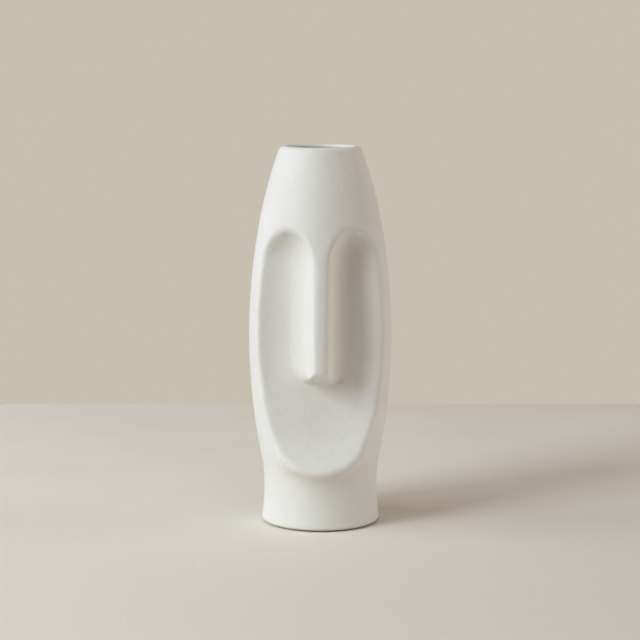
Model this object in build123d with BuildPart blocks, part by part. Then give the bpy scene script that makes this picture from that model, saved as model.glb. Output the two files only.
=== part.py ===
"""Slip-cast ceramic face vase standing on four rubber bumper pads.

Frame: +Z up, the face looks along -Y, origin on the table under the middle of the foot. Millimetres.
"""

import os
from math import acos, asin, cos, degrees, hypot, radians, sin, sqrt, tan

from build123d import *

# Overall form
height = 300.0  # table to rim
belly_radius = 56.7  # widest place of the head
belly_height = 149.0
head_bow = 492.0  # radius of the head's outline from the neck to the rim
waist_radius = 45.5  # narrowest place of the neck
neck_bend = 50.0  # radius of the hollow curve from the neck into the head
foot_radius = 47.1

# Casting
wall = 4.5
base_thickness = 6.0
lip_round = 2.4
lip_bevel = 1.4  # inner edge of the lip
foot_bevel = 2.0
floor_slope = 8.0  # sloped inside corner between the wall and the base
room_runs = 6  # straight runs that the inside of the head is drawn in

# Face: a flat cheek plane let into the head, rolling forward to the chin
cheek_depth = 25.0  # distance of the cheek plane from the vase's axis
chin_sweep_height = 150.0  # below this the cheek plane rolls forward
chin_sweep_radius = 280.0
chin_sweep_angle = 26.0
brow_arch_x = 28.5  # centre of each brow arch, sideways
brow_arch_height = 219.5  # centre of each brow arch
cove_radius = 14.0  # hollow where the nose and the brow meet the cheek
face_edge_round = 3.0

# Nose: the ridge left standing between the two hollows
nose_half_width = 4.9
nose_draft = 12.5  # lean of its sides
nose_tip_height = 129.0
nose_underside_slope = 21.5
nose_underside_round = 4.0

# Underside and pads
foot_gap = 1.0  # clay foot above the table
recess_depth = 1.0  # hollow under the foot that the pads sit in
recess_radius = 39.0
recess_bevel = 0.6
pad_radius = 6.0
pad_circle_radius = 30.0
pad_bevel = 0.6
pad_angles = {"rear_right": 45, "rear_left": 135, "front_left": 225, "front_right": 315}

# Worked out from the above
pad_thickness = foot_gap + recess_depth
cavity_floor = foot_gap + base_thickness
neck_inside = waist_radius - wall
neck_lean = acos(1 - (belly_radius - waist_radius) / (neck_bend + head_bow))
crown_lean = asin((height - belly_height) / head_bow)
waist_height = belly_height - (neck_bend + head_bow) * sin(neck_lean)
overshoot = 20.0  # how far the carving shapes pass the clay
front_y = -(belly_radius + overshoot)
side_x = belly_radius + overshoot
cheek_y = -cheek_depth
nose_lean = tan(radians(nose_draft))
nose_front_x = nose_half_width - overshoot * nose_lean
nose_root_x = nose_half_width + (belly_radius - cheek_depth) * nose_lean
brow_root_z = brow_arch_height + brow_arch_x - nose_root_x
chin_axis = Axis((0, cheek_y - chin_sweep_radius, chin_sweep_height), (1, 0, 0))
brow_axis = Axis((brow_arch_x, 0, brow_arch_height), (0, 1, 0))


def room_point(run):
    """Station on the inside of the head, one wall in from its outline, after so many straight runs."""
    level = waist_height + (height - waist_height) * run / room_runs
    bow = sqrt(head_bow**2 - (level - belly_height) ** 2)
    return (belly_radius - head_bow + bow - wall, level)


def cheek_section(level, edge_x):
    """One cheek hollow seen from above, from the side of the nose out to edge_x."""
    with BuildSketch(Plane.XY.offset(level), mode=Mode.PRIVATE) as section:
        with BuildLine():
            flank = Line((nose_front_x, front_y), (nose_root_x, cheek_y))
            Polyline(flank @ 1, (edge_x, cheek_y), (edge_x, front_y), flank @ 0)
        make_face()
        fillet(section.vertices().group_by(Axis.Y)[-1].sort_by(Axis.X)[0], cove_radius)
    return section.sketch


# The two cheek hollows: a turned dome under each brow arch, a straight run beside the nose, and a roll
# forward to the chin.
with BuildPart() as cheek_hollows:
    dome_section = cheek_section(brow_arch_height, brow_arch_x)
    revolve(dome_section, axis=brow_axis, revolution_arc=90)
    extrude(dome_section.rotate(brow_axis, 90), amount=side_x - brow_arch_x, dir=(1, 0, 0))
    run_section = cheek_section(chin_sweep_height, side_x)
    extrude(run_section, amount=brow_arch_height - chin_sweep_height)
    revolve(run_section, axis=chin_axis, revolution_arc=-chin_sweep_angle)
    mirror(about=Plane.YZ)

# The dish of the mouth and chin, which ends the nose and joins the two hollows below it.
with BuildPart() as mouth_dish:
    with BuildSketch(Plane.XY.offset(chin_sweep_height)):
        with Locations((0, (front_y + cheek_y) / 2)):
            Rectangle(2 * side_x, cheek_y - front_y)
    revolve(axis=chin_axis, revolution_arc=-chin_sweep_angle)
    nose_underside = Plane(
        origin=(0, -belly_radius, nose_tip_height),
        x_dir=(1, 0, 0),
        z_dir=(0, sin(radians(nose_underside_slope)), cos(radians(nose_underside_slope))),
    )
    split(bisect_by=nose_underside, keep=Keep.BOTTOM)
    nose_root = mouth_dish.edges().filter_by(Axis.X).group_by(Axis.Y)[-1].sort_by(Axis.Z)[-1]
    fillet(nose_root, nose_underside_round)

# The room inside, one wall behind the outside and one wall behind the face.
with BuildPart() as cavity:
    with BuildSketch(Plane.XZ):
        with BuildLine():
            corner_base = (neck_inside - floor_slope, cavity_floor)
            corner_top = (neck_inside, cavity_floor + floor_slope)
            side = [room_point(run + 1) for run in range(room_runs)]
            lower = ((0, cavity_floor), corner_base, corner_top, (neck_inside, waist_height))
            Polyline(*lower, *side, (0, height), close=True)
        make_face()
    revolve(axis=Axis.Z)
    back_y = cheek_y + wall
    brow_back_z = brow_root_z + wall
    with BuildSketch(Plane.YZ) as face_back:
        with BuildLine():
            roll_radius = chin_sweep_radius + wall
            roll = JernArc((back_y, chin_sweep_height), (0, -1), roll_radius, -chin_sweep_angle)
            brow_front = (front_y, brow_back_z + (back_y - front_y) * nose_lean)
            Polyline(roll @ 1, (front_y, (roll @ 1).Y), brow_front, (back_y, brow_back_z), roll @ 0)
        make_face()
        fillet(face_back.vertices().sort_by_distance((back_y, brow_back_z))[0], cove_radius + wall)
    extrude(amount=side_x, both=True, mode=Mode.SUBTRACT)

with BuildPart() as vessel_body:
    with BuildSketch(Plane.XZ) as half_section:
        with BuildLine():
            waist = (waist_radius, waist_height)
            flare = TangentArc(waist, (foot_radius, foot_gap), tangent=(0, -1))
            neck = JernArc(waist, (0, 1), neck_bend, -degrees(neck_lean))
            head = JernArc(neck @ 1, neck % 1, head_bow, degrees(neck_lean + crown_lean))
            Polyline(head @ 1, (0, height), (0, foot_gap), flare @ 1)
        make_face()
        fillet(half_section.vertices().sort_by_distance(head @ 1)[0], lip_round)
        chamfer(half_section.vertices().sort_by_distance(flare @ 1)[0], foot_bevel)
    revolve(axis=Axis.Z)
    add(cheek_hollows.part, mode=Mode.SUBTRACT)
    add(mouth_dish.part, mode=Mode.SUBTRACT)
    carved = vessel_body.edges().filter_by(GeomType.BSPLINE)
    outline_edges = carved.filter_by(lambda edge: hypot((edge @ 0.5).X, (edge @ 0.5).Y) > neck_inside)
    fillet(outline_edges, face_edge_round)
    add(cavity.part, mode=Mode.SUBTRACT)
    rim_circles = vessel_body.edges().filter_by(GeomType.CIRCLE).group_by(Axis.Z)[-1]
    chamfer(rim_circles.sort_by(SortBy.RADIUS)[0], lip_bevel)
    with BuildSketch(Plane.XY.offset(foot_gap)):
        Circle(recess_radius)
    extrude(amount=recess_depth, mode=Mode.SUBTRACT)
    foot_circles = vessel_body.edges().filter_by(GeomType.CIRCLE).group_by(Axis.Z)[0]
    chamfer(foot_circles.sort_by(SortBy.RADIUS)[0], recess_bevel)
vessel_body.part.label = "vessel_body"

os.makedirs("parts", exist_ok=True)
export_step(vessel_body.part, "parts/vessel_body.step")

for corner, angle in pad_angles.items():
    with BuildPart() as bumper_pad:
        with BuildSketch():
            with PolarLocations(pad_circle_radius, 1, start_angle=angle):
                Circle(pad_radius)
        extrude(amount=pad_thickness)
        chamfer(bumper_pad.edges().group_by(Axis.Z)[0], pad_bevel)
    bumper_pad.part.label = f"bumper_pad_{corner}"
    export_step(bumper_pad.part, f"parts/bumper_pad_{corner}.step")
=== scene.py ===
from math import acos, asin, cos, degrees, radians, sin, tan

import bpy
import numpy as np
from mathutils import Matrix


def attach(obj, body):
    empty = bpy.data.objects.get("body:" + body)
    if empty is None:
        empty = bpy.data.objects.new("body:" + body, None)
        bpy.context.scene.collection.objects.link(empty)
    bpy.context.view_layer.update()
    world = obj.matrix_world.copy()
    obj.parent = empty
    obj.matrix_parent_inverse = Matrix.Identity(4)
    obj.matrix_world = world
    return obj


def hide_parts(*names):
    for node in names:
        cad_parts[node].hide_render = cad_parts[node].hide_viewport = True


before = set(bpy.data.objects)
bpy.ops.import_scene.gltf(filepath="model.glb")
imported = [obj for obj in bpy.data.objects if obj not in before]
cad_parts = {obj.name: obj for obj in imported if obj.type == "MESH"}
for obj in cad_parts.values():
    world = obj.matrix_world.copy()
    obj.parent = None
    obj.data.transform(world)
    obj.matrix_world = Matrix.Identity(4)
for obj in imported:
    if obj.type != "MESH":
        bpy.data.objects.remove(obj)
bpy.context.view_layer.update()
mm = 0.001
print("frame: loaded", sorted(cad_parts))


def clearSelection():
    if bpy.context.object and bpy.context.object.mode != "OBJECT":
        bpy.ops.object.mode_set(mode="OBJECT")
    bpy.ops.object.select_all(action="DESELECT")


# a link or a plain value into one socket
def plug(tree, node, name, value):
    if isinstance(value, Wire):
        tree.links.new(value.socket, node.inputs[name])
    else:
        node.inputs[name].default_value = value


# one socket with arithmetic; every other node comes from node()
class Wire:
    def __init__(self, tree, socket=None):
        self.tree = tree
        self.socket = socket

    def node(self, kind, settings=None, sockets=None, out=0):
        made = self.tree.nodes.new(kind)
        for name, value in (settings or {}).items():
            setattr(made, name, value)
        for name, value in (sockets or {}).items():
            plug(self.tree, made, name, value)
        return Wire(self.tree, made.outputs[out])

    def math(self, operation, first, second):
        return self.node("ShaderNodeMath", {"operation": operation}, {0: first, 1: second})

    def __add__(self, other):
        return self.math("ADD", self, other)

    def __radd__(self, other):
        return self.math("ADD", other, self)

    def __sub__(self, other):
        return self.math("SUBTRACT", self, other)

    def __rsub__(self, other):
        return self.math("SUBTRACT", other, self)

    def __mul__(self, other):
        return self.math("MULTIPLY", self, other)

    def __rmul__(self, other):
        return self.math("MULTIPLY", other, self)

    def band(self, span, toLow=0.0, toHigh=1.0):
        low, high = span
        sockets = {"Value": self, "From Min": low, "From Max": high, "To Min": toLow, "To Max": toHigh}
        return self.node("ShaderNodeMapRange", {"interpolation_type": "SMOOTHSTEP"}, sockets)

    def blend(self, first, second):
        return self.node("ShaderNodeMix", {"data_type": "RGBA"}, {0: self, 6: first, 7: second}, out=2)

    def noise(self, place, scale, detail, roughness=0.5):
        sockets = {"Vector": place, "Scale": scale, "Detail": detail, "Roughness": roughness}
        return self.node("ShaderNodeTexNoise", sockets=sockets, out="Fac")

    def bump(self, height, strength, depth):
        sockets = {"Height": height, "Strength": strength, "Distance": depth}
        return self.node("ShaderNodeBump", sockets=sockets, out="Normal")

    def mask(self, name):
        return self.node("ShaderNodeAttribute", {"attribute_name": name}, out="Fac")


def newMaterial(name):
    material = bpy.data.materials.new(name)
    material.use_nodes = True
    tree = material.node_tree
    shader = next(node for node in tree.nodes if node.type == "BSDF_PRINCIPLED")
    wire = Wire(tree)
    return material, wire, shader, wire.node("ShaderNodeTexCoord", out="Object")


def feed(wire, shader, sockets):
    for name, value in sockets.items():
        plug(wire.tree, shader, name, value)


# vase body in millimetres; the face looks along -Y
vase = {
    "height": 299.98,
    "bellyRadius": 56.66, "bellyHeight": 149.0,
    "headBow": 492.0,                               # radius of the head's outline
    "tuck": 1.3, "tuckFrom": 250.0,                 # the head draws in towards the rim
    "waistRadius": 45.0, "neckBend": 100.0,
    "footRadius": 47.1, "footGap": 1.0, "footRound": 2.3,
    "recessRadius": 39.0, "recessTop": 2.0,
    "wall": 4.7, "floorTop": 7.0, "floorRound": 9.0,
    "lipRound": 5.4, "lipInnerRound": 1.9,
    "lipSwell": 1.7, "lipSwellSpan": (276, 297),    # the wall thickens up to the lip
}
neckLean = acos(1 - (vase["bellyRadius"] - vase["waistRadius"]) / (vase["neckBend"] + vase["headBow"]))
waistHeight = vase["bellyHeight"] - (vase["neckBend"] + vase["headBow"]) * sin(neckLean)
neckTop = waistHeight + vase["neckBend"] * sin(neckLean)
tuckSpan = vase["height"] - vase["tuckFrom"]
headLean = asin((vase["height"] - vase["bellyHeight"]) / vase["headBow"])
crownLean = headLean + 2 * vase["tuck"] / tuckSpan
footFlare = vase["footRadius"] - vase["waistRadius"]
flareBow = (footFlare ** 2 + (waistHeight - vase["footGap"]) ** 2) / (2 * footFlare)


# how far an arc falls away from its tangent
def sag(radius, along):
    return radius - np.sqrt(np.maximum(radius ** 2 - along ** 2, 0))


def easeIn(value, span):
    t = np.clip((value - span[0]) / (span[1] - span[0]), 0, 1)
    return t * t * (3 - 2 * t)


def easeOut(value, span):
    return 1 - easeIn(value, span)


def between(first, second, share):
    return first + (second - first) * share


# rounded outside corner and rounded inside corner of two distances
def roundOver(a, b, radius):
    corner = np.hypot(np.maximum(radius + a, 0), np.maximum(radius + b, 0))
    return np.minimum(-radius, np.maximum(a, b)) + corner


def roundIn(a, b, radius):
    corner = np.hypot(np.maximum(radius - a, 0), np.maximum(radius - b, 0))
    return np.maximum(radius, np.minimum(a, b)) - corner


# the turned outline: flared foot, waist, head
def sideRadius(z):
    z = np.asarray(z, dtype=float)
    flare = vase["waistRadius"] + sag(flareBow, z - waistHeight)
    neck = vase["waistRadius"] + sag(vase["neckBend"], z - waistHeight)
    head = vase["bellyRadius"] - sag(vase["headBow"], z - vase["bellyHeight"])
    head = head - vase["tuck"] * (np.maximum(z - vase["tuckFrom"], 0) / tuckSpan) ** 2
    return np.where(z < waistHeight, flare, np.where(z < neckTop, neck, head))


def wallAt(z):
    return vase["wall"] + vase["lipSwell"] * easeIn(z, vase["lipSwellSpan"])


# the carved face in millimetres; a span is the pair of heights or depths that a change runs over
face = {
    "cheekDepth": 25.0, "chinHeight": 150.0, "chinBow": 285.0,      # cheek plane and its roll to the chin
    "dishRise": 9.0, "dishEdge": 41.0, "dishPower": 2.9,            # cheek rises towards the nose
    "dishMiddle": 12.0, "dishSpan": (104, 140),                     # no crease under the nose
    "rimRise": 1.9, "rimFrom": 26.0, "rimWidth": 18.0, "rimSpan": (96, 130),
    "mouthRise": 1.9, "mouthHalf": 40.0, "mouthSpan": (104, 140),
    "chinCurl": 0.0112, "curlTop": 74.6,
    "archX": 28.5, "archHeight": 212.3, "archStretch": 0.79,
    "noseHalf": 5.6, "noseDraft": 12.5,
    "noseCrown": 1.1, "crownReach": 1.4,                            # the ridge is domed from side to side
    "noseWidth": (7, 11), "noseTop": (206, 226), "noseFoot": (96, 112),
    "tipHeight": 126.6, "tipSlope": 21.5, "tipRound": 1.4, "tipRootRound": 4.0, "tipRootSpan": (6, 30),
    "cove": 13.0, "browCove": 17.0, "browCoveSpan": (196, 236),
    "tipCove": 1.4, "tipCoveGrow": 0.45, "tipCoveReach": 14.0,      # tight under the nose's tip
    "tipCoveStart": (0.3, -1.0), "tipCoveEnd": (1.2, 3.0),
    "edgeRound": 2.6, "noseEdgeRound": 1.3,
    "browEdgeRound": 4.4, "browEdgeSpan": (222, 242), "chinEdgeRound": 6.5, "chinEdgeSpan": (84, 122),
    "sideLift": 4.2, "sideReach": 3.2, "chinLift": 9.6, "chinReach": 11.0,    # soft ledge under the chin
    "ledgeSpan": (78, 118), "chinSpan": (46, 76),
    "backDepth": 20.5, "backRound": 6.0, "browBack": 240.6, "browBackRound": 18.0,  # wall behind it
}
noseDraft = radians(face["noseDraft"])
noseLean = tan(noseDraft)
tipTilt = radians(face["tipSlope"])


# depth of the cheek plane from the axis, and how squarely it faces forward
def cheekFloor(x, z):
    ax = np.abs(x)
    drop = np.maximum(face["chinHeight"] - z, 0)
    middle = face["dishMiddle"]
    across = np.where(ax < middle, x * x / (2 * middle) + middle / 2, ax)
    inward = np.clip((face["dishEdge"] - across) / face["dishEdge"], 0, 1)
    dish = face["dishRise"] * inward ** face["dishPower"] * easeIn(z, face["dishSpan"])
    outward = np.maximum(ax - face["rimFrom"], 0) / face["rimWidth"]
    rim = face["rimRise"] * outward ** 2 * easeIn(z, face["rimSpan"])
    mouth = face["mouthRise"] * (x / face["mouthHalf"]) ** 2 * easeOut(z, face["mouthSpan"])
    curl = face["chinCurl"] * np.maximum(face["curlTop"] - z, 0) ** 2
    slope = drop / np.sqrt(face["chinBow"] ** 2 - drop ** 2)
    depth = face["cheekDepth"] + sag(face["chinBow"], drop) + dish + rim + mouth + curl
    return depth, 1 / np.sqrt(1 + slope ** 2)


# nose and brow arches: distance beside the ridge, below the tip, and both together
def browRidge(x, d, z):
    inset = vase["bellyRadius"] - d
    aside = np.abs(x) - face["archX"]
    rise = np.maximum(z - face["archHeight"], 0) * face["archStretch"]
    noseHalf = face["noseHalf"] + inset * noseLean
    side = face["archX"] - noseHalf - np.hypot(np.minimum(aside, 0), rise)
    side = (side + np.where(rise > 0, 0, np.maximum(aside, 0))) * cos(noseDraft)
    under = -(inset * sin(tipTilt) + (z - face["tipHeight"]) * cos(tipTilt))
    corner = between(face["tipRound"], face["tipRootRound"], easeIn(inset, face["tipRootSpan"]))
    return side, under, roundOver(side, under, corner)


def coveRadius(side, under, z):
    beside = np.clip(side, 0, face["tipCoveReach"])
    start, end = (grow * beside + base for grow, base in (face["tipCoveStart"], face["tipCoveEnd"]))
    tip = face["tipCove"] + face["tipCoveGrow"] * beside
    cheek = between(face["cove"], face["browCove"], easeIn(z, face["browCoveSpan"]))
    return between(tip, cheek, easeIn(-under, (start, end)))


def noseMask(x, d, z):
    along = easeOut(z, face["noseTop"]) * easeIn(z, face["noseFoot"])
    return easeOut(np.abs(x), face["noseWidth"]) * along * (d > 0)


# distance outside the turned form, with the ledge under the chin and the domed nose
def bodySkin(x, d, z, depth):
    radius = np.hypot(x, d)
    shell = sideRadius(z)
    behind = depth - d * shell / np.maximum(radius, 1)
    low = easeOut(z, face["chinSpan"])
    reach = between(face["sideReach"], face["chinReach"], low)
    lift = between(face["sideLift"], face["chinLift"], low) * np.exp(-(behind / reach) ** 2)
    lift = lift * easeOut(z, face["ledgeSpan"])
    crown = np.minimum(np.abs(x) / face["noseHalf"], face["crownReach"]) ** 3
    return radius - shell - lift + face["noseCrown"] * crown * noseMask(x, d, z)


def edgeRadius(x, d, z):
    plain = face["edgeRound"]
    edge = plain + (face["noseEdgeRound"] - plain) * noseMask(x, d, z)
    edge = edge + (face["chinEdgeRound"] - plain) * easeOut(z, face["chinEdgeSpan"])
    return edge + (face["browEdgeRound"] - plain) * easeIn(z, face["browEdgeSpan"])


def faceParts(x, d, z):
    depth, level = cheekFloor(x, z)
    front = (d - depth) * level
    side, under, ridge = browRidge(x, d, z)
    hollow = roundIn(front, ridge, coveRadius(side, under, z))
    return front, ridge, bodySkin(x, d, z, depth), hollow


# clay is where this is below zero; x sideways, d forward
def clayField(x, d, z):
    front, ridge, body, hollow = faceParts(x, d, z)
    return roundOver(body, hollow, edgeRadius(x, d, z))


# the room inside is where this is below zero
def roomField(x, d, z):
    drop = np.maximum(face["chinHeight"] - z, 0)
    back = face["backDepth"] + sag(face["chinBow"] + vase["wall"], drop)
    browBack = face["browBack"] + (d - face["backDepth"]) * noseLean
    block = roundOver(back - d, (z - browBack) * cos(noseDraft), face["browBackRound"])
    return roundOver(np.hypot(x, d) - sideRadius(z) + wallAt(z), -block, face["backRound"])


# first place along each ray from the axis where the field turns positive
def castRadius(field, angle, z, near=8.0, far=62.0, halvings=46):
    low = np.full(angle.shape, near)
    high = np.full(angle.shape, far)
    for halving in range(halvings):
        middle = (low + high) / 2
        outside = field(middle * np.sin(angle), middle * np.cos(angle), z) > 0
        high = np.where(outside, middle, high)
        low = np.where(outside, low, middle)
    return (low + high) / 2


# rows and columns of the vase's mesh: a start and the step from there, closer where the face is
mesh = {
    "recessRings": (0, 7, 14, 21, 27, 32, 36, 38.2),
    "recessCorner": ((-0.25, -0.07), (-0.02, -0.28), (0.02, -0.6)),     # out and up from its corner
    "footInnerEdge": ((0.25, 0.12), (0.7, 0)),                          # out and up from that edge
    "footRings": (41.5, 43.2), "cornerLean": -4, "cornerSteps": 7,      # foot and floor roundings
    "outerRows": ((5, 2.2), (38, 0.95), (62, 1.6), (112, 0.8), (134, 2.0), (205, 0.9), (249, 2.3)),
    "outerStop": 1.0, "lipSteps": 6, "innerStart": 2.0, "innerStep": 3.2,
    "innerRows": ((262, 1.5), (224, 6.5), (66, 4.2)), "innerEnd": 20,
    "cornerShift": 0.2, "floorRings": (25, 17, 9, 0),
    "faceSectors": ((4, 6), (4, 11), (18, 30), (22, 24), (28, 34)),     # degrees and steps, from the nose
    "backSector": (208, 64),
    "carveSpan": (4.5, 297), "carveSkin": 1.0, "roomSpan": (18, 295), "roomSkin": 2.0,
}


def stations(rows, end):
    places = []
    stops = [start for start, step in rows[1:]] + [end]
    for (start, step), stop in zip(rows, stops):
        count = max(1, round(abs(stop - start) / step))
        places += [start + (stop - start) * i / count for i in range(count)]
    return places + [end]


def arcPoints(centre, radius, start, end, count):
    turns = [radians(start + (end - start) * i / count) for i in range(count + 1)]
    return [(centre[0] + radius * cos(turn), centre[1] + radius * sin(turn)) for turn in turns]


# half outline as radius and height, from the middle of the recess to the middle of the inside floor
def vaseProfile():
    gap, ceiling, recess = vase["footGap"], vase["recessTop"], vase["recessRadius"]
    line = [(ring, ceiling) for ring in mesh["recessRings"]]
    line += [(recess + out, ceiling + up) for out, up in mesh["recessCorner"]]
    line += [(recess + out, gap + up) for out, up in mesh["footInnerEdge"]]
    line += [(ring, gap) for ring in mesh["footRings"]]
    footTop = gap + vase["footRound"]
    footCentre = (float(sideRadius(footTop)) - vase["footRound"], footTop)
    line += arcPoints(footCentre, vase["footRound"], -90, mesh["cornerLean"], mesh["cornerSteps"])

    lip, innerLip = vase["lipRound"], vase["lipInnerRound"]
    lean = degrees(crownLean)
    wallTop = vase["height"] - lip * (1 - sin(crownLean))
    line += [(float(sideRadius(z)), z) for z in stations(mesh["outerRows"], wallTop - mesh["outerStop"])]
    lipCentre = (float(sideRadius(wallTop)) - lip * cos(crownLean), vase["height"] - lip)
    line += arcPoints(lipCentre, lip, lean, 90, mesh["lipSteps"])
    innerTop = vase["height"] - innerLip * (1 + sin(crownLean))
    innerEdge = float(sideRadius(innerTop) - wallAt(innerTop))
    innerCentre = (innerEdge + innerLip * cos(crownLean), vase["height"] - innerLip)
    line += arcPoints(innerCentre, innerLip, 90, 180 + lean, mesh["lipSteps"])

    innerRows = ((innerTop - mesh["innerStart"], mesh["innerStep"]),) + mesh["innerRows"]
    line += [(float(sideRadius(z) - wallAt(z)), z) for z in stations(innerRows, mesh["innerEnd"])]
    floorRound = vase["floorRound"]
    cornerRadius = vase["waistRadius"] - vase["wall"] - floorRound + mesh["cornerShift"]
    corner = (cornerRadius, vase["floorTop"] + floorRound)
    line += arcPoints(corner, floorRound, mesh["cornerLean"], -90, mesh["cornerSteps"])
    return line + [(ring, vase["floorTop"]) for ring in mesh["floorRings"]]


clearSelection()
profile = vaseProfile()
bpy.ops.mesh.primitive_plane_add(size=mm)
vessel = bpy.context.object
vessel.name = "vaseBody"
vessel.data.name = "vaseBody"
bpy.ops.object.mode_set(mode="EDIT")
bpy.ops.mesh.merge(type="CENTER")
bpy.ops.transform.translate(value=(0, -profile[0][0] * mm, profile[0][1] * mm))
for before, after in zip(profile, profile[1:]):     # draw the half outline point by point
    step = (0, (before[0] - after[0]) * mm, (after[1] - before[1]) * mm)
    bpy.ops.mesh.extrude_region_move(TRANSFORM_OT_translate={"value": step})
bpy.ops.mesh.select_all(action="SELECT")
sectors = mesh["faceSectors"] + (mesh["backSector"],) + mesh["faceSectors"][::-1]
for turn, steps in sectors:                         # once round, from the nose
    bpy.ops.mesh.spin(steps=steps, angle=radians(turn), center=(0, 0, 0), axis=(0, 0, 1))
bpy.ops.mesh.select_all(action="SELECT")
bpy.ops.mesh.remove_doubles(threshold=0.01 * mm)
bpy.ops.mesh.normals_make_consistent(inside=False)
bpy.ops.object.mode_set(mode="OBJECT")
print("vase: spun", len(vessel.data.vertices), "points")

# carve the face and flatten the wall behind it
spots = np.empty(len(vessel.data.vertices) * 3)
vessel.data.vertices.foreach_get("co", spots)
spots = spots.reshape(-1, 3) / mm
angle = np.arctan2(spots[:, 0], -spots[:, 1])
reach = np.hypot(spots[:, 0], spots[:, 1])
z = spots[:, 2]
inset = sideRadius(z) - reach
outer = (z > mesh["carveSpan"][0]) & (z < mesh["carveSpan"][1]) & (inset < mesh["carveSkin"])
inner = (z > mesh["roomSpan"][0]) & (z < mesh["roomSpan"][1]) & (inset > mesh["roomSkin"])
fresh = reach.copy()
fresh[outer] = castRadius(clayField, angle[outer], z[outer])
fresh[inner] = castRadius(roomField, angle[inner], z[inner])
spots[:, 0] = fresh * np.sin(angle)
spots[:, 1] = -fresh * np.cos(angle)
vessel.data.vertices.foreach_set("co", (spots * mm).ravel())
print("vase: carved, deepest", round(float(fresh[outer].min()), 1), "mm")

# white clay: matte outside, a clear glaze inside, bare foot, and painted shade in the hollows and under
# the chin
clayTone = {
    "white": (0.84, 0.845, 0.84, 1), "cloud": (0.812, 0.812, 0.803, 1), "paintedShadeTone": (0.79, 0.76, 0.70, 1),
    "bare": (0.70, 0.655, 0.58, 1), "pit": (0.55, 0.51, 0.45, 1),
    "cloudScale": 22.0, "cloudBand": (0.35, 0.7), "rippleScale": 120.0,
    "grainScale": 850.0, "grainBand": (0.45, 0.75), "grainTint": 0.75,
    "pitScale": 230.0, "pitBand": (0.05, 0.13), "pitTint": 0.45,
    "sparseScale": 95.0, "sparseBand": (0.63, 0.71),                    # where pits show at all
    "bareBand": (0.0016, 0.0034),                                       # metres above the table
    "paintedShadeMix": 0.4, "paintedShadeSpread": 200.0, "paintedShadeInset": (1, 7),          # painted shade: a warmer, darker tone in the hollows
    # painted shadow under the chin ledge, in the painted shade tone
    "chinPaintedShadow": 1.7, "chinPaintedShadowDrop": 7.0, "chinPaintedShadowBelow": 20.0, "chinPaintedShadowAbove": 8.0,
    "chinPaintedShadowTop": (46, 58), "chinPaintedShadowFoot": (8, 34),
    "crestSpread": 7.0, "glazeInset": 2.6, "glazeFrom": 6.5,
    "rough": 0.62, "cloudRough": 0.08, "grainRough": 0.06, "bareRough": 0.2,
    "crestPolish": 0.06, "glazePolish": 0.33,
    "grainRelief": 0.8, "rippleRelief": 0.8, "pitRelief": 1.4,
    "reliefStrength": 0.9, "reliefDepth": 0.0006,
}
# painted shade: how near each point lies to the face's hollows, joined with the painted shadow under the
# chin, kept as a point attribute
front, ridge, body, hollow = faceParts(spots[:, 0], -spots[:, 1], z)
nearby = np.maximum(front, 0) ** 2 + np.maximum(ridge, 0) ** 2
paintedShade = np.exp(-nearby / clayTone["paintedShadeSpread"]) * easeIn(-body, clayTone["paintedShadeInset"])
# painted shadow: a band under the chin's ledge, reaching farther down the neck than up
below = front + clayTone["chinPaintedShadowDrop"]
chinFade = np.where(below < 0, clayTone["chinPaintedShadowBelow"], clayTone["chinPaintedShadowAbove"])
chinPaintedShadow = np.exp(-(below / chinFade) ** 2)
chinPaintedShadow = chinPaintedShadow * easeOut(z, clayTone["chinPaintedShadowTop"]) * easeIn(z, clayTone["chinPaintedShadowFoot"])
paintedShade = np.where(outer, np.maximum(paintedShade, clayTone["chinPaintedShadow"] * chinPaintedShadow), 0)
crest = np.where(outer, np.exp(-(body ** 2 + hollow ** 2) / clayTone["crestSpread"]), 0)
within = np.where((inset > clayTone["glazeInset"]) & (z > clayTone["glazeFrom"]), 1.0, 0.0)
for name, values in (("paintedShade", paintedShade), ("crest", crest), ("within", within)):
    layer = vessel.data.attributes.new(name, "FLOAT", "POINT")
    layer.data.foreach_set("value", values.astype(np.float32))
vessel.data.update()
clearSelection()
vessel.select_set(True)
bpy.context.view_layer.objects.active = vessel
bpy.ops.object.shade_smooth()
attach(vessel, "root")
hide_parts("vessel_body")

clay, wire, shader, place = newMaterial("matteClay")
level = wire.node("ShaderNodeSeparateXYZ", sockets={"Vector": place}, out="Z")
cloud = wire.noise(place, clayTone["cloudScale"], detail=3.0)
ripple = wire.noise(place, clayTone["rippleScale"], detail=2.0)
grain = wire.noise(place, clayTone["grainScale"], detail=3.0, roughness=0.65)
sparse = wire.noise(place, clayTone["sparseScale"], detail=1.0)
pits = wire.node("ShaderNodeTexVoronoi", {"feature": "F1"},
                 {"Vector": place, "Scale": clayTone["pitScale"]}, out="Distance")
pitMask = pits.band(clayTone["pitBand"], 1.0, 0.0) * sparse.band(clayTone["sparseBand"])
bareMask = level.band(clayTone["bareBand"], 1.0, 0.0)
tone = cloud.band(clayTone["cloudBand"]).blend(clayTone["white"], clayTone["cloud"])
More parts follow.
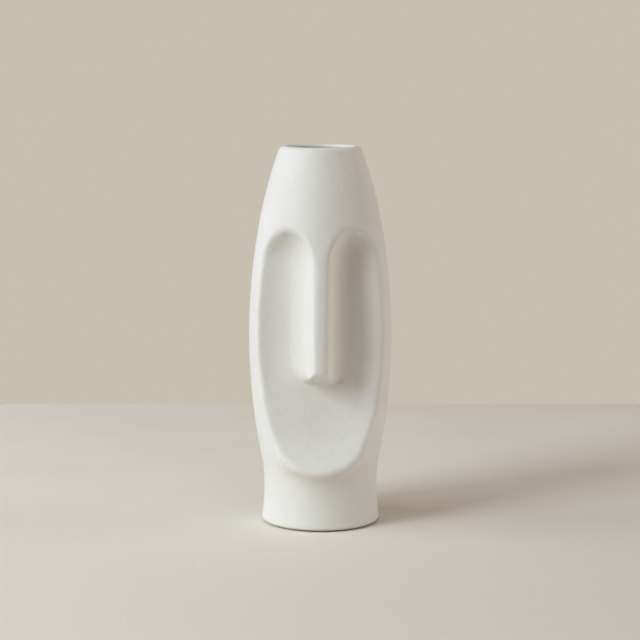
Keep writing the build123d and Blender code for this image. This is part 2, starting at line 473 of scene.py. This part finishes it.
# painted shade: the hollows and the neck under the chin are mixed towards a warmer, darker tone
tone = (wire.mask("paintedShade") * clayTone["paintedShadeMix"]).blend(tone, clayTone["paintedShadeTone"])
tone = (grain.band(clayTone["grainBand"]) * clayTone["grainTint"]).blend(tone, clayTone["cloud"])
tone = (pitMask * clayTone["pitTint"]).blend(tone, clayTone["pit"])
tone = bareMask.blend(tone, clayTone["bare"])
rough = clayTone["rough"] + cloud * clayTone["cloudRough"] + grain * clayTone["grainRough"]
rough = rough - wire.mask("crest") * clayTone["crestPolish"]
rough = rough - wire.mask("within") * clayTone["glazePolish"]
rough = rough + bareMask * clayTone["bareRough"]
relief = grain * clayTone["grainRelief"] + ripple * clayTone["rippleRelief"]
relief = relief - pitMask * clayTone["pitRelief"]
normal = wire.bump(relief, clayTone["reliefStrength"], clayTone["reliefDepth"])
feed(wire, shader, {"Base Color": tone, "Roughness": rough, "Normal": normal})
feed(wire, shader, {"IOR": 1.5, "Specular IOR Level": 0.35})
vessel.data.materials.clear()
vessel.data.materials.append(clay)
print("vase: clay finish on")

# rubber bumpers under the foot, millimetres
bumper = {
    "radius": 6.0, "top": 2.0, "circle": 30.0, "sides": 56, "edge": 0.75, "edgeSteps": 4,
    "dimpleRing": 1.6, "dimpleWall": 0.5, "dimpleDepth": 0.25, "dimpleFloor": 1.6,
    "corners": (("rear_right", 45), ("rear_left", 135), ("front_left", 225), ("front_right", 315)),
    "rubber": (0.012, 0.012, 0.013, 1), "dusty": (0.045, 0.043, 0.040, 1),
    "speckScale": 2600.0, "dustScale": 240.0, "dustBand": (0.45, 0.75),
    "rough": 0.55, "dustRough": 0.25, "gripStrength": 0.4, "gripDepth": 0.00008,
}
rubber, wire, shader, place = newMaterial("darkRubber")
speck = wire.noise(place, bumper["speckScale"], detail=2.0)
dust = wire.noise(place, bumper["dustScale"], detail=3.0)
tone = dust.band(bumper["dustBand"]).blend(bumper["rubber"], bumper["dusty"])
grip = wire.bump(speck, bumper["gripStrength"], bumper["gripDepth"])
rough = bumper["rough"] + dust * bumper["dustRough"]
feed(wire, shader, {"Base Color": tone, "Roughness": rough, "Normal": grip})

clearSelection()
bpy.ops.mesh.primitive_cylinder_add(vertices=bumper["sides"], radius=bumper["radius"] * mm,
                                    depth=bumper["top"] * mm, location=(0, 0, bumper["top"] * mm / 2))
pad = bpy.context.object
bpy.ops.object.transform_apply(location=True)
bpy.ops.object.mode_set(mode="EDIT")
bpy.ops.mesh.select_all(action="DESELECT")
bpy.ops.object.mode_set(mode="OBJECT")
for vert in pad.data.vertices:                      # the underside
    vert.select = vert.co.z < 0.1 * mm
for edge in pad.data.edges:
    edge.select = all(pad.data.vertices[i].select for i in edge.vertices)
for plate in pad.data.polygons:
    plate.select = plate.normal.z < -0.9
bpy.ops.object.mode_set(mode="EDIT")
bpy.ops.mesh.inset(thickness=bumper["dimpleRing"] * mm)         # the ring that meets the table
bpy.ops.mesh.inset(thickness=bumper["dimpleWall"] * mm, depth=-bumper["dimpleDepth"] * mm)
bpy.ops.mesh.inset(thickness=bumper["dimpleFloor"] * mm)        # its sunken middle
bpy.ops.object.mode_set(mode="OBJECT")
soften = pad.modifiers.new("soften", "BEVEL")
soften.width = bumper["edge"] * mm
soften.segments = bumper["edgeSteps"]
soften.limit_method = "ANGLE"
soften.angle_limit = radians(50)
bpy.ops.object.modifier_apply(modifier="soften")
bpy.ops.object.shade_smooth_by_angle(angle=radians(35))
pad.data.materials.append(rubber)
padMesh = pad.data
bpy.data.objects.remove(pad)
for corner, turn in bumper["corners"]:
    copied = padMesh.copy()
    shift = np.array([cos(radians(turn)), sin(radians(turn)), 0]) * bumper["circle"] * mm
    points = np.empty(len(copied.vertices) * 3)
    copied.vertices.foreach_get("co", points)
    copied.vertices.foreach_set("co", (points.reshape(-1, 3) + shift).ravel())
    piece = bpy.data.objects.new("pad_" + corner, copied)
    bpy.context.collection.objects.link(piece)
    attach(piece, "root")
    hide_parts("bumper_pad_" + corner)
print("pads: four bumpers set")

# floor and background, metres
stage = {
    "floorWide": 1.3, "floorDeep": 1.2, "backEdge": 0.515,
    # painted light: the floor's tone is lighter towards the back, evening out the lamps' light across it
    "floorNear": (0.815, 0.79, 0.735, 1), "floorFar": (0.925, 0.90, 0.85, 1), "farBand": (-0.3, 0.42),
    "floorCloud": (0.80, 0.765, 0.70, 1), "cloudBand": (0.3, 0.75), "cloudTint": 0.25,
    "mottleScale": 9.0, "gritScale": 300.0, "gritStrength": 0.3, "gritDepth": 0.0008,
    "backTone": (0.57, 0.52, 0.43, 1), "ambient": (1.0, 0.79, 0.52, 1), "ambientLevel": 0.21,
}
clearSelection()
bpy.ops.mesh.primitive_plane_add(size=1)
floor = bpy.context.object
floor.name = "floor"
floor.scale = (stage["floorWide"], stage["floorDeep"], 1)
floor.location = (0, stage["backEdge"] - stage["floorDeep"] / 2, 0)
bpy.ops.object.transform_apply(location=True, scale=True)
plaster, wire, shader, place = newMaterial("plaster")
mottle = wire.noise(place, stage["mottleScale"], detail=5.0)
grit = wire.noise(place, stage["gritScale"], detail=4.0)
away = wire.node("ShaderNodeSeparateXYZ", sockets={"Vector": place}, out="Y")
# painted light: lighter towards the back to even out the lamps' falloff
tone = away.band(stage["farBand"]).blend(stage["floorNear"], stage["floorFar"])
tone = (mottle.band(stage["cloudBand"]) * stage["cloudTint"]).blend(tone, stage["floorCloud"])
normal = wire.bump(grit, stage["gritStrength"], stage["gritDepth"])
feed(wire, shader, {"Base Color": tone, "Normal": normal, "Roughness": 0.85, "Specular IOR Level": 0.2})
floor.data.materials.append(plaster)

world = bpy.data.worlds.new("studio")
bpy.context.scene.world = world
world.use_nodes = True
wire = Wire(world.node_tree)
output = next(node for node in world.node_tree.nodes if node.type == "OUTPUT_WORLD")
background = next(node for node in world.node_tree.nodes if node.type == "BACKGROUND")
background.inputs["Color"].default_value = stage["ambient"]
background.inputs["Strength"].default_value = stage["ambientLevel"]
ambient = Wire(world.node_tree, background.outputs[0])
backdrop = wire.node("ShaderNodeBackground", sockets={"Color": stage["backTone"], "Strength": 1.0})
seen = wire.node("ShaderNodeLightPath", out="Is Camera Ray")
glossy = wire.node("ShaderNodeLightPath", out="Is Glossy Ray")
through = wire.node("ShaderNodeLightPath", out="Is Transmission Ray")
direct = wire.math("MAXIMUM", wire.math("MAXIMUM", seen, glossy), through)
mixed = wire.node("ShaderNodeMixShader", sockets={0: direct, 1: ambient, 2: backdrop})
world.node_tree.links.new(mixed.socket, output.inputs["Surface"])

# soft lamps round the vase: degrees from the front and up, metres away, watts
lamps = {
    "windowLight": {"azimuth": -54, "elevation": 28, "distance": 2.3, "wide": 0.86, "tall": 1.4,
                    "power": 31.2, "tint": (0.885, 0.95, 1.0)},
    "sideLight": {"azimuth": -88, "elevation": 27, "distance": 2.3, "wide": 1.15, "tall": 1.4,
                  "power": 13.6, "tint": (0.90, 0.95, 1.0)},
    "fillLight": {"azimuth": 95, "elevation": 5, "distance": 3.2, "wide": 1.2, "tall": 1.6,
                  "power": 30.4, "tint": (1.0, 0.97, 0.915)},
    "topLight": {"azimuth": -10, "elevation": 72, "distance": 3.2, "wide": 2.0, "tall": 2.0,
                 "power": 14.8, "tint": (0.92, 0.96, 1.0)},
}
aimHeight = 0.15


def areaLamp(name, azimuth, elevation, distance, wide, tall, power, tint):
    turn, tilt = radians(azimuth), radians(elevation)
    reach = distance * cos(tilt)
    spot = (reach * sin(turn), -reach * cos(turn), aimHeight + distance * sin(tilt))
    bpy.ops.object.light_add(type="AREA", location=spot, rotation=(radians(90 - elevation), 0, turn))
    lamp = bpy.context.object
    lamp.name = name
    lamp.data.shape = "RECTANGLE"
    lamp.data.size = wide
    lamp.data.size_y = tall
    lamp.data.energy = power
    lamp.data.color = tint


for name, lamp in lamps.items():
    areaLamp(name, **lamp)

# camera at the photograph's angle; the focal length is fitted in pixels of the 640 wide image
view = {
    "place": (-0.0003, -1.587, 0.3834), "pitch": 7.95,
    "focalPixels": 2014.7, "imageWide": 640, "sensor": 36,
}
bpy.ops.object.camera_add(location=view["place"], rotation=(radians(90 - view["pitch"]), 0, 0))
camera = bpy.context.object
camera.data.sensor_width = view["sensor"]
camera.data.lens = view["focalPixels"] / view["imageWide"] * view["sensor"]
camera.data.dof.use_dof = False
bpy.context.scene.camera = camera
bpy.context.scene.view_settings.view_transform = "Standard"
print("stage: floor, lamps and camera set")
